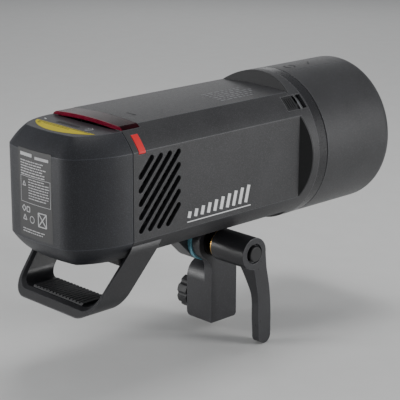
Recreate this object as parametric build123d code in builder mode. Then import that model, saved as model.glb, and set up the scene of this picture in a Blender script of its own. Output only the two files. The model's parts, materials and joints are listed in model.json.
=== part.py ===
"""Battery monolight strobe: flash head with cap and handle, slide-off battery and tilting stand bracket.

The origin is the mouth of the stand socket. The head fires along -Y, the battery is at +Y and +Z is up.
"""
from build123d import *
from math import acos, asin, atan2, cos, degrees, pi, radians, sin, sqrt
import os

os.makedirs("parts", exist_ok=True)

# ---- Driving dimensions, mm -------------------------------------------------------------------
front_radius = 64.0  # ring and cap, and the corner arcs of the casing
side_half = 53.8  # flat sides of the casing
top_height = 52.0  # edge of the top flat above the flash axis
bottom_depth = 50.6  # bottom flat below the flash axis
crown = 1.8  # rise of the top flat at its middle
wall = 3.0
axis_z = 141.9  # flash axis above the socket mouth
shoulder_y = -48.0  # front end of the flat sides
ring_y = shoulder_y - 13.8  # front end of the moulded ring
bezel_y = shoulder_y - 24.3  # front end of the smooth bezel
cap_front_y = shoulder_y - 109.5
seam_y = shoulder_y + 183.3  # joint between head and battery
seam_half = 0.35
battery_top = 49.1
running = 0.2  # gap round a sliding piece

tilt_y = 12.5  # tilt axis, parallel to X
tilt_z = 72.5
block_half = 15.0
hub_radius = 17.0
stud_radius = 5.0
socket_radius = 8.05
socket_depth = 40.0
knob_z = 16.5

bottom_z = axis_z - bottom_depth
lens_front_y = shoulder_y + 164.7
lens_low = 49.4


def station(y):
    """Plane across the flash axis at y; its normal points to the front."""
    return Plane(origin=(0, y, axis_z), x_dir=(1, 0, 0), z_dir=(0, -1, 0))


def side_plane(x):
    """Vertical plane at x with Y to the right and Z up; its normal is +X."""
    return Plane(origin=(x, 0, 0), x_dir=(0, 1, 0), z_dir=(1, 0, 0))


def corner_plane(angle, radius, y):
    """Plane that touches the round corner on the -X side, angle degrees above horizontal; x runs along Y."""
    normal = (-cos(radians(angle)), 0, sin(radians(angle)))
    origin = (radius * normal[0], y, axis_z + radius * normal[2])
    return Plane(origin=origin, x_dir=(0, 1, 0), z_dir=normal)


def on_circle(radius, angle):
    return (radius * cos(angle), radius * sin(angle))


def circle_arc(radius, start, end):
    ThreePointArc(on_circle(radius, start), on_circle(radius, (start + end) / 2), on_circle(radius, end))


def section_face(inset=0.0, top=top_height, rise=crown):
    """Section of the casing: a circle with flat sides and bottom and a crowned top."""
    radius = front_radius - inset
    side = side_half - inset
    high = top - inset
    low = bottom_depth - inset
    side_angle = acos(side / radius)
    top_angle = asin(high / radius)
    low_angle = asin(low / radius)
    top_x = sqrt(radius**2 - high**2)
    with BuildLine() as outline:
        Line(on_circle(radius, -side_angle), on_circle(radius, side_angle))
        circle_arc(radius, side_angle, top_angle)
        ThreePointArc((top_x, high), (0, high + rise), (-top_x, high))
        circle_arc(radius, pi - top_angle, pi - side_angle)
        Line(on_circle(radius, pi - side_angle), on_circle(radius, pi + side_angle))
        circle_arc(radius, pi + side_angle, pi + low_angle)
        Line(on_circle(radius, pi + low_angle), on_circle(radius, -low_angle))
        circle_arc(radius, -low_angle, -side_angle)
    make_face(outline.edges())


def save(builder, name):
    builder.part.label = name
    export_step(builder.part, f"parts/{name}.step")


# ---- Head: casing -----------------------------------------------------------------------------
insert_thick = 1.5
side_rake = 0.57  # forward slope of the shoulder at the sides, per mm outward
top_rake = 0.47
insert_rim = 0.1
slot_width = 4.6
slot_rise = 1.15
slot_pitch = 10.6
slot_front_y = shoulder_y + 137.0
slot_rear_y = shoulder_y + 175.9
slot_top_z = axis_z + 28.4
slot_low_z = axis_z - 26.8
recess_angle = 44.3
recess_front_y = shoulder_y - 12.0
recess_rear_y = shoulder_y + 10.6
recess_width = 13.8
button_angle = 38.8
button_width = 15.8
button_front_y = shoulder_y + 171.1
button_rear_y = shoulder_y + 177.6
panel_y = shoulder_y + 78.0
panel_z = axis_z + 0.9
panel_length = 100.0
panel_height = 54.0
port_y = shoulder_y + 14.5
port_length = 15.0
port_height = 34.0
port_hinge_x = side_half - 1.15
port_hinge_y = port_y - port_length / 2 + 1.3
port_pin_radius = 0.6
screw_shank = 1.9
screw_hole = screw_shank + 0.05
bracket_screws = [(5, -7), (28, -7), (5, 57.5), (28, 57.5)]
rail_screws = [(-25, shoulder_y + 166), (25, shoulder_y + 166)]


def shoulder_wedge(half, rake, depth):
    """Face in a plane through the flash axis: everything outside a flat and ahead of its raked shoulder."""
    reach = front_radius + 4
    out = rake * (reach - half)
    with BuildLine() as outline:
        Polyline(
            (half, shoulder_y),
            (reach, shoulder_y - out),
            (reach, shoulder_y - out - depth),
            (half, shoulder_y - depth),
            close=True,
        )
    make_face(outline.edges())


def shoulder_inserts(half, rake, turn):
    """Two thin raked crescents that close the shoulder behind the ring, on opposite sides of the axis."""
    with BuildPart() as insert:
        with BuildSketch(station(shoulder_y)):
            Circle(front_radius - insert_rim)
            Rectangle(2 * half, 2 * front_radius, mode=Mode.SUBTRACT)
        extrude(amount=14)
        with BuildSketch(Plane(origin=(0, 0, axis_z), x_dir=(1, 0, 0), z_dir=(0, 0, 1))):
            shoulder_wedge(half, rake, insert_thick)
            mirror(about=Plane.YZ)
        extrude(amount=front_radius, both=True, mode=Mode.INTERSECT)
    return insert.part.rotate(Axis((0, 0, axis_z), (0, 1, 0)), turn)


def slot_centres():
    """End points of the slanted cooling slots, clipped to their rectangle."""
    ends = []
    for row in range(8):
        rear_z = axis_z + 15.5 - slot_pitch * row
        if rear_z >= slot_low_z:
            low = (slot_rear_y, rear_z)
        else:
            low = (slot_rear_y - (slot_low_z - rear_z) / slot_rise, slot_low_z)
        front_z = rear_z + slot_rise * (slot_rear_y - slot_front_y)
        if front_z <= slot_top_z:
            high = (slot_front_y, front_z)
        else:
            high = (slot_rear_y - (slot_top_z - rear_z) / slot_rise, slot_top_z)
        ends.append((low, high))
    return ends


def slot_faces():
    for low, high in slot_centres():
        middle = ((low[0] + high[0]) / 2, (low[1] + high[1]) / 2)
        length = sqrt((high[0] - low[0]) ** 2 + (high[1] - low[1]) ** 2)
        tilt = degrees(atan2(high[1] - low[1], high[0] - low[0]))
        with Locations(middle):
            SlotCenterToCenter(length, slot_width, rotation=tilt)


side_inserts = shoulder_inserts(side_half, side_rake, 0)
top_insert_pair = shoulder_inserts(top_height - 1.2, top_rake, 90)

with BuildPart() as main_housing:
    with BuildSketch(station(seam_y - seam_half)):
        section_face()
    extrude(amount=seam_y - seam_half - shoulder_y)
    with BuildSketch(station(shoulder_y)):
        Circle(front_radius)
    extrude(amount=shoulder_y - ring_y)
    for half, rake, turn in ((side_half, side_rake, 0), (top_height - 1.2, top_rake, 90)):
        for flip in (0, 180):
            frame = Plane(origin=(0, 0, axis_z), x_dir=(1, 0, 0), z_dir=(0, 0, 1))
            cut_plane = frame.rotated((0, turn + flip, 0))
            with BuildSketch(cut_plane):
                with BuildLine():
                    reach = front_radius + 4
                    Polyline(
                        (half, shoulder_y - insert_thick),
                        (reach, shoulder_y - insert_thick - rake * (reach - half)),
                        (reach, shoulder_y),
                        (half, shoulder_y),
                        close=True,
                    )
                make_face()
            extrude(amount=front_radius, both=True, mode=Mode.SUBTRACT)
    with BuildSketch(station(seam_y)):
        section_face(wall)
    extrude(amount=seam_y - ring_y + 1, mode=Mode.SUBTRACT)
    with BuildSketch(station(ring_y + 5.8)):
        Circle(front_radius - wall + 0.1)
    extrude(amount=6, mode=Mode.SUBTRACT)
    # Cooling slots in both sides
    for x in (-side_half, side_half):
        with BuildSketch(side_plane(x)):
            slot_faces()
        extrude(amount=wall + 1, both=True, mode=Mode.SUBTRACT)
    # Lens opening across the rear of the top
    with BuildSketch(station(seam_y)):
        with Locations((0, lens_low + 10)):
            Rectangle(2 * front_radius, 20)
    extrude(amount=seam_y - lens_front_y + running, mode=Mode.SUBTRACT)
    # Recess of the accessory release
    recess_middle = (recess_front_y + recess_rear_y) / 2
    with BuildSketch(corner_plane(recess_angle, front_radius + 1, recess_middle)):
        Rectangle(recess_rear_y - recess_front_y, recess_width)
    extrude(amount=-7, mode=Mode.SUBTRACT)
    # Opening of the battery release button
    button_middle = (button_front_y + button_rear_y) / 2
    with BuildSketch(corner_plane(button_angle, front_radius + 1, button_middle)):
        Rectangle(button_rear_y - button_front_y + 2 * running, button_width + 2 * running)
    extrude(amount=-12, mode=Mode.SUBTRACT)
    # Control panel and port openings in the far side
    with BuildSketch(side_plane(side_half + 1)):
        with Locations((panel_y, panel_z)):
            RectangleRounded(panel_length, panel_height, 8)
        with Locations((port_y, axis_z)):
            RectangleRounded(port_length, port_height, 0.8)
    extrude(amount=-wall - 3, mode=Mode.SUBTRACT)
    with BuildSketch(Plane.XY.offset(axis_z)):
        with Locations((port_hinge_x, port_hinge_y)):
            Circle(port_pin_radius + 0.06)
    extrude(amount=port_height / 2 + 1.2, both=True, mode=Mode.SUBTRACT)
    # Screw holes of the tilt bracket and the handle rail
    with BuildSketch(Plane.XY.offset(bottom_z)):
        with Locations(*bracket_screws, *rail_screws):
            Circle(screw_hole)
    extrude(amount=wall + 1, mode=Mode.SUBTRACT)
save(main_housing, "main_housing")

with BuildPart() as side_shoulder_inserts:
    add(side_inserts)
save(side_shoulder_inserts, "side_shoulder_inserts")

with BuildPart() as top_shoulder_inserts:
    add(top_insert_pair)
save(top_shoulder_inserts, "top_shoulder_inserts")

# ---- Head: front end --------------------------------------------------------------------------
bezel_bore = 57.0
claw_y = bezel_y - 5.0
dome_radius = 42.0
dome_front_y = shoulder_y - 90.0
dome_wall = 2.5
tube_radius = 5.0
tube_ring = 22.0
tube_y = bezel_y - 22.0


def disc(radius, y, thickness, bore=0.0):
    """Washer-shaped solid on the flash axis, from y towards the front."""
    with BuildSketch(station(y)) as face:
        Circle(radius)
        if bore:
            Circle(bore, mode=Mode.SUBTRACT)
    extrude(face.sketch, amount=thickness)


with BuildPart() as front_bezel:
    disc(front_radius - 0.1, ring_y, ring_y - bezel_y, bezel_bore)
    chamfer(front_bezel.edges().filter_by(GeomType.CIRCLE).group_by(Axis.Y)[0].sort_by(SortBy.RADIUS)[-1], 0.6)
    disc(front_radius - wall - 0.1, ring_y + 2.6, 2.6, bezel_bore)
save(front_bezel, "front_bezel")

with BuildPart() as bayonet_ring:
    disc(bezel_bore - 0.1, ring_y + 2, ring_y + 2 - claw_y, bezel_bore - 5)
    for turn in range(3):
        spoke = station(claw_y + 3).rotated((0, 30 + 120 * turn, 0))
        with BuildSketch(spoke):
            with Locations((bezel_bore - 1, 0)):
                Rectangle(5, 16)
        extrude(amount=3)
save(bayonet_ring, "bayonet_ring")

with BuildPart() as front_bulkhead:
    disc(front_radius - wall - 0.1, ring_y + 5.7, 3, 17)
    with BuildSketch(station(ring_y + 5.7)):
        with GridLocations(64, 64, 2, 2):
            Circle(6)
    extrude(amount=3, mode=Mode.SUBTRACT)
save(front_bulkhead, "front_bulkhead")

with BuildPart() as reflector_pan:
    with BuildSketch(Plane(origin=(0, 0, axis_z), x_dir=(1, 0, 0), z_dir=(0, 0, 1))):
        with BuildLine():
            Polyline(
                (17.5, ring_y + 1.5),
                (17.5, ring_y + 0.5),
                (30, ring_y + 0.5),
                (50, ring_y - 7),
                (51.5, ring_y - 7),
                (51.5, ring_y - 6),
                (30.5, ring_y + 1.5),
                close=True,
            )
        make_face()
    revolve(axis=Axis((0, 0, axis_z), (0, 1, 0)))
save(reflector_pan, "reflector_pan")

with BuildPart() as dome_seal:
    disc(51, ring_y - 7.2, 2.0, dome_radius - 4)
save(dome_seal, "dome_seal")


def dome_profile(inset):
    """Half section of the glass dome: straight wall, round shoulder and shallow nose."""
    radius = dome_radius - inset
    nose = dome_front_y + inset
    with BuildLine() as half:
        Polyline((0, nose), (0, dome_foot_y), (radius, dome_foot_y), (radius, nose + 24))
        ThreePointArc((radius, nose + 24), (radius - 7.5, nose + 7.5), (radius - 24, nose + 1.2))
        Line((radius - 24, nose + 1.2), (0, nose))
    make_face(half.edges())


dome_frame = Plane(origin=(0, 0, axis_z), x_dir=(1, 0, 0), z_dir=(0, 0, 1))
dome_foot_y = ring_y - 9.2
with BuildPart() as glass_dome:
    with BuildSketch(dome_frame):
        dome_profile(0)
    revolve(axis=Axis((0, 0, axis_z), (0, 1, 0)))
    disc(dome_radius + 4, dome_foot_y, 2.0)
    with BuildSketch(dome_frame):
        dome_profile(dome_wall)
    revolve(axis=Axis((0, 0, axis_z), (0, 1, 0)), mode=Mode.SUBTRACT)
save(glass_dome, "glass_dome")

with BuildPart() as tube_base:
    disc(16.8, ring_y + 8, ring_y + 8 - (dome_foot_y - 6), 8)
    for side in (-1, 1):
        with BuildSketch(station(dome_foot_y - 6)):
            with Locations((12.4 * side, 0)):
                Circle(2.5)
        extrude(amount=-4, mode=Mode.SUBTRACT)
save(tube_base, "tube_base")

with BuildPart() as flash_tube:
    with BuildLine() as loop:
        ThreePointArc(
            (tube_ring * cos(radians(-62)), tube_y, axis_z + tube_ring * sin(radians(-62))),
            (0, tube_y, axis_z + tube_ring),
            (-tube_ring * cos(radians(-62)), tube_y, axis_z + tube_ring * sin(radians(-62))),
        )
    with BuildSketch(Plane(origin=loop.line @ 0, z_dir=loop.line % 0)):
        Circle(tube_radius)
    sweep(path=loop.line)
    for side in (-1, 1):
        with BuildSketch(station(dome_foot_y - 6)):
            with Locations((tube_ring * cos(radians(62)) * side, -tube_ring * sin(radians(62)))):
                Circle(tube_radius - 0.6)
        extrude(amount=dome_foot_y - 6 - tube_y)
save(flash_tube, "flash_tube")

with BuildPart() as tube_sockets:
    for side in (-1, 1):
        with BuildSketch(station(ring_y - 0.2)):
            with Locations((tube_ring * cos(radians(62)) * side, -tube_ring * sin(radians(62)))):
                Circle(tube_radius + 1.5)
        extrude(amount=ring_y - 0.2 - (dome_foot_y - 6))
    with BuildSketch(station(ring_y + 9)):
        Circle(17)
    extrude(amount=30, mode=Mode.SUBTRACT)
save(tube_sockets, "tube_sockets")

with BuildPart() as modelling_lamp:
    disc(7.8, ring_y + 8, ring_y + 8 - (dome_foot_y - 9))
    disc(5.5, dome_foot_y - 9, 1.2)
save(modelling_lamp, "modelling_lamp")

with BuildPart() as lamp_heatsink:
    disc(34, ring_y + 14, 4)
    with BuildSketch(station(ring_y + 14)):
        with GridLocations(6, 1, 9, 1):
            Rectangle(2, 44)
    extrude(amount=-16)
    disc(7, ring_y + 10, 1.9)
save(lamp_heatsink, "lamp_heatsink")

# ---- Head: inside -----------------------------------------------------------------------------
cap_can_radius = 17.0
cap_can_front_y = shoulder_y + 38.0
cap_can_length = 82.0

with BuildPart() as flash_capacitors:
    with BuildSketch(station(cap_can_front_y + cap_can_length)):
        with GridLocations(37, 37, 2, 2):
            Circle(cap_can_radius)
    extrude(amount=cap_can_length)
    fillet(flash_capacitors.edges().filter_by(GeomType.CIRCLE), 1.5)
save(flash_capacitors, "flash_capacitors")

with BuildPart() as capacitor_clamp:
    with BuildSketch(station(cap_can_front_y + 30)):
        RectangleRounded(76, 76, 8)
        with GridLocations(37, 37, 2, 2):
            Circle(cap_can_radius + 0.2, mode=Mode.SUBTRACT)
    extrude(amount=8)
save(capacitor_clamp, "capacitor_clamp")

with BuildPart() as power_board:
    with BuildSketch(side_plane(-45)):
        with Locations((shoulder_y + 70, axis_z)):
            Rectangle(104, 58)
    extrude(amount=1.6)
    with BuildSketch(side_plane(-45)):
        with Locations((shoulder_y + 40, axis_z + 12), (shoulder_y + 66, axis_z - 12)):
            Rectangle(16, 14)
        with Locations((shoulder_y + 96, axis_z + 8)):
            Rectangle(20, 22)
    extrude(amount=-4.5)
save(power_board, "power_board")

with BuildPart() as charge_transformer:
    with BuildSketch(side_plane(-20)):
        with Locations((shoulder_y + 27, axis_z)):
            Rectangle(18, 36)
    extrude(amount=36)
    with BuildSketch(side_plane(-24)):
        with Locations((shoulder_y + 27, axis_z)):
            RectangleRounded(13, 26, 5)
    extrude(amount=44)
save(charge_transformer, "charge_transformer")

with BuildPart() as chassis_rods:
    with BuildSketch(station(seam_y - 6.5)):
        with GridLocations(78, 78, 2, 2):
            Circle(2.5)
    extrude(amount=seam_y - 6.5 - ring_y - 6)
save(chassis_rods, "chassis_rods")

fan_x = -44.0
fan_y = shoulder_y + 151.5
with BuildPart() as fan_frame:
    with BuildSketch(side_plane(fan_x)):
        with Locations((fan_y, axis_z)):
            RectangleRounded(40, 62, 4)
            Circle(18.4, mode=Mode.SUBTRACT)
    extrude(amount=12)
    with BuildSketch(side_plane(fan_x + 10.5)):
        with Locations((fan_y, axis_z)):
            Circle(6)
            Rectangle(40, 3)
            Rectangle(3, 40)
    extrude(amount=1.5)
    with BuildSketch(side_plane(fan_x + 1.5)):
        with Locations((fan_y, axis_z)):
            Circle(1.5)
    extrude(amount=9)
save(fan_frame, "fan_frame")

with BuildPart() as fan_rotor:
    with BuildSketch(side_plane(fan_x + 2)):
        with Locations((fan_y, axis_z)):
            Circle(6.5)
            with PolarLocations(11.5, 7):
                Rectangle(11, 1.6, rotation=18)
            Circle(1.55, mode=Mode.SUBTRACT)
    extrude(amount=8)
save(fan_rotor, "fan_rotor")

with BuildPart() as vent_screens:
    for x in (-side_half + wall + 0.3, side_half - wall - 1.1):
        with BuildSketch(side_plane(x)):
            with Locations(((slot_front_y + slot_rear_y) / 2, axis_z + 0.8)):
                Rectangle(slot_rear_y - slot_front_y + 7, 57)
                with GridLocations(5, 5, 8, 11):
                    Rectangle(3.6, 3.6, mode=Mode.SUBTRACT)
        extrude(amount=0.8)
save(vent_screens, "vent_screens")

with BuildPart() as rear_bulkhead:
    with BuildSketch(station(seam_y - seam_half)):
        section_face(wall + 0.2, top=lens_low)
    extrude(amount=3)
    with BuildSketch(station(seam_y)):
        with Locations((0, -14)):
            RectangleRounded(40, 14, 2)
    extrude(amount=4, mode=Mode.SUBTRACT)
    with BuildSketch(station(seam_y)):
        with GridLocations(70, 40, 2, 2):
            RectangleRounded(9, 5, 1)
    extrude(amount=4, mode=Mode.SUBTRACT)
save(rear_bulkhead, "rear_bulkhead")

with BuildPart() as battery_terminals:
    with BuildSketch(station(seam_y - seam_half)):
        with Locations((0, -14)):
            RectangleRounded(39.6, 13.6, 2)
    extrude(amount=9)
    with BuildSketch(station(seam_y - seam_half)):
        with Locations((0, -14)):
            with GridLocations(7, 1, 5, 1):
                Rectangle(3, 8)
    extrude(amount=0.8, mode=Mode.SUBTRACT)
save(battery_terminals, "battery_terminals")

# ---- Head: outside pieces ---------------------------------------------------------------------
with BuildPart() as slave_lens:
    with BuildSketch(station(seam_y - seam_half)):
        section_face()
    extrude(amount=seam_y - seam_half - lens_front_y)
    chamfer(slave_lens.edges().filter_by(Axis.Y).group_by(Axis.Z)[-1], 0.8)
    with BuildSketch(station(seam_y)):
        section_face(wall)
    extrude(amount=40, mode=Mode.SUBTRACT)
    with BuildSketch(station(seam_y + 1)):
        with Locations((0, lens_low + running - front_radius)):
            Rectangle(3 * front_radius, 2 * front_radius)
    extrude(amount=40, mode=Mode.SUBTRACT)
save(slave_lens, "slave_lens")

with BuildPart() as slave_sensor:
    with BuildSketch(Plane.XY.offset(axis_z + 40)):
        with Locations((0, seam_y - 10)):
            Rectangle(30, 12)
    extrude(amount=1.6)
    with BuildSketch(Plane.XY.offset(axis_z + 41.6)):
        with Locations((0, seam_y - 10)):
            Circle(3)
    extrude(amount=4)
save(slave_sensor, "slave_sensor")

slider_front_y = recess_rear_y - running - 12.6
with BuildPart() as release_slider:
    slide_middle = (slider_front_y + recess_rear_y - running) / 2
    with BuildSketch(corner_plane(recess_angle, front_radius - 0.5, slide_middle)):
        Rectangle(12.6, recess_width - 2 * running)
    extrude(amount=-3)
    with BuildSketch(corner_plane(recess_angle, front_radius - 3.5, slide_middle + 6)):
        Rectangle(20, 10)
    extrude(amount=-1.2)
    for step in range(4):
        with BuildSketch(corner_plane(recess_angle, front_radius, slide_middle - 3.6 + 2.4 * step)):
            Rectangle(1.0, recess_width - 4)
        extrude(amount=-0.9, mode=Mode.SUBTRACT)
save(release_slider, "release_slider")

with BuildPart() as battery_button:
    with BuildSketch(station(button_rear_y)):
        section_face(-0.35)
    extrude(amount=button_rear_y - button_front_y)
    with BuildSketch(station(button_rear_y + 1)):
        section_face(wall - 0.5)
    extrude(amount=12, mode=Mode.SUBTRACT)
    with BuildSketch(corner_plane(button_angle, front_radius + 4, button_middle)):
        Rectangle(20, button_width)
    extrude(amount=-16, mode=Mode.INTERSECT)
    fillet(battery_button.edges().filter_by(Axis.Y).group_by(SortBy.LENGTH)[-1], 0.2)
save(battery_button, "battery_button")

# ---- Head: control panel and port cover on the far side -----------------------------------------
display_y = panel_y + 18.0
display_z = panel_z + 7.0
display_length = 54.0
display_height = 33.0
key_z = panel_z - 18.5
key_pitch = 26.0
key_length = 16.0
key_height = 5.5
dial_y = panel_y - 31.0
dial_z = panel_z + 7.0
dial_radius = 13.5
test_radius = 4.2
test_z = panel_z - 18.0
panel_face = side_half - 0.4
board_x = panel_face - 7.0
key_root = 3.2  # depth of the keys behind the panel face
key_stand = 1.4  # height of the keys above the panel

with BuildPart() as side_panel:
    with BuildSketch(side_plane(panel_face)):
        with Locations((panel_y, panel_z)):
            RectangleRounded(panel_length - 2 * running, panel_height - 2 * running, 7.8)
        with Locations((display_y, display_z)):
            RectangleRounded(display_length, display_height, 2, mode=Mode.SUBTRACT)
        with Locations((display_y, key_z)):
            with GridLocations(key_pitch, 1, 2, 1):
                RectangleRounded(key_length + 2 * running, key_height + 2 * running, 1.5, mode=Mode.SUBTRACT)
        with Locations((dial_y, dial_z)):
            Circle(dial_radius + 0.3, mode=Mode.SUBTRACT)
        with Locations((dial_y, test_z)):
            Circle(test_radius + 0.3, mode=Mode.SUBTRACT)
    extrude(amount=-2.6)
save(side_panel, "side_panel")

with BuildPart() as display_window:
    with BuildSketch(side_plane(panel_face)):
        with Locations((display_y, display_z)):
            RectangleRounded(display_length - 0.2, display_height - 0.2, 2)
    extrude(amount=-1.2)
save(display_window, "display_window")

with BuildPart() as control_board:
    with BuildSketch(side_plane(board_x)):
        with Locations((panel_y, panel_z)):
            Rectangle(panel_length - 8, panel_height - 6)
    extrude(amount=-1.6)
    with BuildSketch(side_plane(board_x)):
        with Locations((display_y, display_z)):
            Rectangle(display_length - 4, display_height - 4)
    extrude(amount=5.6)
    with BuildSketch(side_plane(board_x)):
        with Locations((dial_y, dial_z)):
            Circle(10)
    extrude(amount=3.6)
    with BuildSketch(side_plane(board_x)):
        with Locations((display_y, key_z)):
            with GridLocations(key_pitch, 1, 2, 1):
                Rectangle(4, 4)
        with Locations((dial_y, test_z)):
            Rectangle(4, 4)
    extrude(amount=2.4)
save(control_board, "control_board")

with BuildPart() as control_dial:
    with BuildSketch(side_plane(panel_face - 3)):
        with Locations((dial_y, dial_z)):
            Circle(dial_radius)
            with PolarLocations(dial_radius, 30):
                Circle(0.5, mode=Mode.SUBTRACT)
    extrude(amount=7)
    with BuildSketch(side_plane(panel_face + 4)):
        with Locations((dial_y, dial_z)):
            Circle(dial_radius - 3)
    extrude(amount=-0.6, mode=Mode.SUBTRACT)
save(control_dial, "control_dial")

with BuildPart() as test_button:
    with BuildSketch(side_plane(panel_face - key_root)):
        with Locations((dial_y, test_z)):
            Circle(test_radius)
    extrude(amount=key_root + key_stand)
    fillet(test_button.faces().sort_by(Axis.X)[-1].edges(), 0.6)
save(test_button, "test_button")

for number in range(2):
    with BuildPart() as soft_key:
        with BuildSketch(side_plane(panel_face - key_root)):
            with Locations((display_y + key_pitch * (number - 0.5), key_z)):
                RectangleRounded(key_length, key_height, 1.5)
        extrude(amount=key_root + key_stand)
        fillet(soft_key.faces().sort_by(Axis.X)[-1].edges(), 0.5)
    save(soft_key, f"soft_key_{number + 1}")

with BuildPart() as port_sockets:
    with BuildSketch(side_plane(side_half - wall - 0.5)):
        with Locations((port_y, axis_z)):
            Rectangle(port_length + 4, port_height + 4)
    extrude(amount=-2)
    with BuildSketch(side_plane(side_half - wall - 0.5)):
        with Locations((port_y, axis_z + 8)):
            Circle(3.2)
            Circle(1.8, mode=Mode.SUBTRACT)
        with Locations((port_y, axis_z - 7)):
            RectangleRounded(4, 9.5, 1.9)
            RectangleRounded(2.8, 8.3, 1.3, mode=Mode.SUBTRACT)
    extrude(amount=1.4)
save(port_sockets, "port_sockets")

with BuildPart() as port_cover:
    with BuildSketch(side_plane(port_hinge_x + 0.75)):
        with Locations((port_y + 0.15, axis_z)):
            RectangleRounded(port_length - 0.8, port_height - 0.5, 0.6)
    extrude(amount=-1.5)
    with BuildSketch(Plane.XY.offset(axis_z)):
        with Locations((port_hinge_x, port_hinge_y)):
            Circle(port_pin_radius)
    extrude(amount=port_height / 2 + 1, both=True)
save(port_cover, "port_cover")

# ---- Battery ----------------------------------------------------------------------------------
tail_side = 70.0  # arc radii of the battery's plan: side, corner, rear
tail_corner = 20.0
tail_rear = 160.0
tail_turn = radians(36)
tail_front = seam_y + seam_half
tail_mid_x = side_half - tail_side + (tail_side - tail_corner) * cos(tail_turn)
tail_rear_turn = acos(tail_mid_x / (tail_rear - tail_corner))
tail_centre_2 = (tail_mid_x, tail_front + (tail_side - tail_corner) * sin(tail_turn))
tail_centre_3 = (0, tail_centre_2[1] - (tail_rear - tail_corner) * sin(tail_rear_turn))
flat_z = sqrt(front_radius**2 - side_half**2)


def round_arc(centre, radius, start, end):
    points = []
    for angle in (start, (start + end) / 2, end):
        points.append((centre[0] + radius * cos(angle), centre[1] + radius * sin(angle)))
    ThreePointArc(*points)


def plan_face(inset):
    """Plan of the battery: a rounded tail whose sides draw in towards the rear."""
    half = side_half - inset
    side_x = side_half - tail_side
    with BuildLine() as outline:
        Polyline((-half, tail_front), (-half, tail_front - 1), (half, tail_front - 1), (half, tail_front))
        round_arc((side_x, tail_front), tail_side - inset, 0, tail_turn)
        round_arc(tail_centre_2, tail_corner - inset, tail_turn, tail_rear_turn)
        round_arc(tail_centre_3, tail_rear - inset, tail_rear_turn, pi - tail_rear_turn)
        round_arc((-tail_mid_x, tail_centre_2[1]), tail_corner - inset, pi - tail_rear_turn, pi - tail_turn)
        round_arc((-side_x, tail_front), tail_side - inset, pi - tail_turn, pi)
    make_face(outline.edges())


def bevel_inset(height):
    """How far the round corner draws in at a height above or below the flash axis."""
    return side_half - sqrt(front_radius**2 - height**2)


with BuildPart() as battery_case:
    with BuildSketch(Plane.XY.offset(axis_z - flat_z)):
        plan_face(0)
    extrude(amount=2 * flat_z)
    for sign, edge in ((1, battery_top), (-1, bottom_depth)):
        for height in (flat_z, (flat_z + edge) / 2, edge):
            with BuildSketch(Plane.XY.offset(axis_z + sign * height)):
                plan_face(bevel_inset(height))
        loft()
    with BuildSketch(station(tail_front)):
        Rectangle(3 * front_radius, 3 * front_radius)
    extrude(amount=5, mode=Mode.SUBTRACT)
    with BuildSketch(Plane.XY.offset(axis_z - flat_z)):
        plan_face(wall)
    extrude(amount=2 * flat_z, mode=Mode.SUBTRACT)
    with BuildSketch(Plane.XY.offset(axis_z - bottom_depth + wall)):
        plan_face(bevel_inset(bottom_depth) + 1)
    extrude(amount=bottom_depth + battery_top - 2 * wall, mode=Mode.SUBTRACT)
    with BuildSketch(station(tail_front + 2.8)):
        section_face(wall - 0.2, top=battery_top, rise=0.3)
    extrude(amount=4, mode=Mode.SUBTRACT)
    # Openings of the level window and the check button in the top
    with BuildSketch(Plane.XY.offset(axis_z + battery_top)):
        with Locations((4, seam_y + 14)):
            RectangleRounded(26 + 2 * running, 4 + 2 * running, 1.5)
        with Locations((-20, seam_y + 14)):
            Circle(3.2 + running)
    extrude(amount=-6, mode=Mode.SUBTRACT)
save(battery_case, "battery_case")

with BuildPart() as battery_front:
    with BuildSketch(station(tail_front + 2.6)):
        section_face(wall, top=battery_top, rise=0.3)
    extrude(amount=2.6)
    with BuildSketch(station(tail_front)):
        with GridLocations(70, 40, 2, 2):
            RectangleRounded(8.4, 4.4, 0.8)
    extrude(amount=2.6)
    with BuildSketch(station(tail_front + 3)):
        with Locations((0, -14)):
            with GridLocations(7, 1, 5, 1):
                Rectangle(3, 8)
    extrude(amount=4, mode=Mode.SUBTRACT)
save(battery_front, "battery_front")

with BuildPart() as battery_contacts:
    with BuildSketch(station(tail_front + 2.6)):
        with Locations((0, -14)):
            with GridLocations(7, 1, 5, 1):
                Rectangle(2.8, 7.8)
    extrude(amount=2.3)
save(battery_contacts, "battery_contacts")

with BuildPart() as battery_cells:
    with BuildSketch(Plane.XY.offset(axis_z - 32.5)):
        with Locations((0, tail_front + 13)):
            with GridLocations(18.8, 1, 5, 1):
                Circle(9.1)
        with Locations((0, tail_front + 30.5)):
            with GridLocations(18.8, 1, 4, 1):
                Circle(9.1)
    extrude(amount=65)
save(battery_cells, "battery_cells")

with BuildPart() as battery_board:
    with BuildSketch(Plane.XY.offset(axis_z + 35)):
        with Locations((0, tail_front + 16)):
            Rectangle(56, 22)
    extrude(amount=1.6)
    with BuildSketch(Plane.XY.offset(axis_z + 36.6)):
        with Locations((4, seam_y + 14)):
            Rectangle(24, 3)
    extrude(amount=7.5)
save(battery_board, "battery_board")

with BuildPart() as level_window:
    with BuildSketch(Plane.XY.offset(axis_z + battery_top)):
        with Locations((4, seam_y + 14)):
            RectangleRounded(26, 4, 1.4)
    extrude(amount=-2.5)
save(level_window, "level_window")

with BuildPart() as level_button:
    with BuildSketch(Plane.XY.offset(axis_z + battery_top + 0.4)):
        with Locations((-20, seam_y + 14)):
            Circle(3.2)
    extrude(amount=-4.5)
    fillet(level_button.faces().sort_by(Axis.Z)[-1].edges(), 0.4)
save(level_button, "level_button")

# ---- Front cap --------------------------------------------------------------------------------
cap_radius = front_radius - 0.2
cap_rear_y = bezel_y - 0.6
cap_wall = 2.6
cap_round = 8.0
seam_mark_angle = 78.0

cap_middle = (cap_rear_y + cap_front_y) / 2

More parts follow.
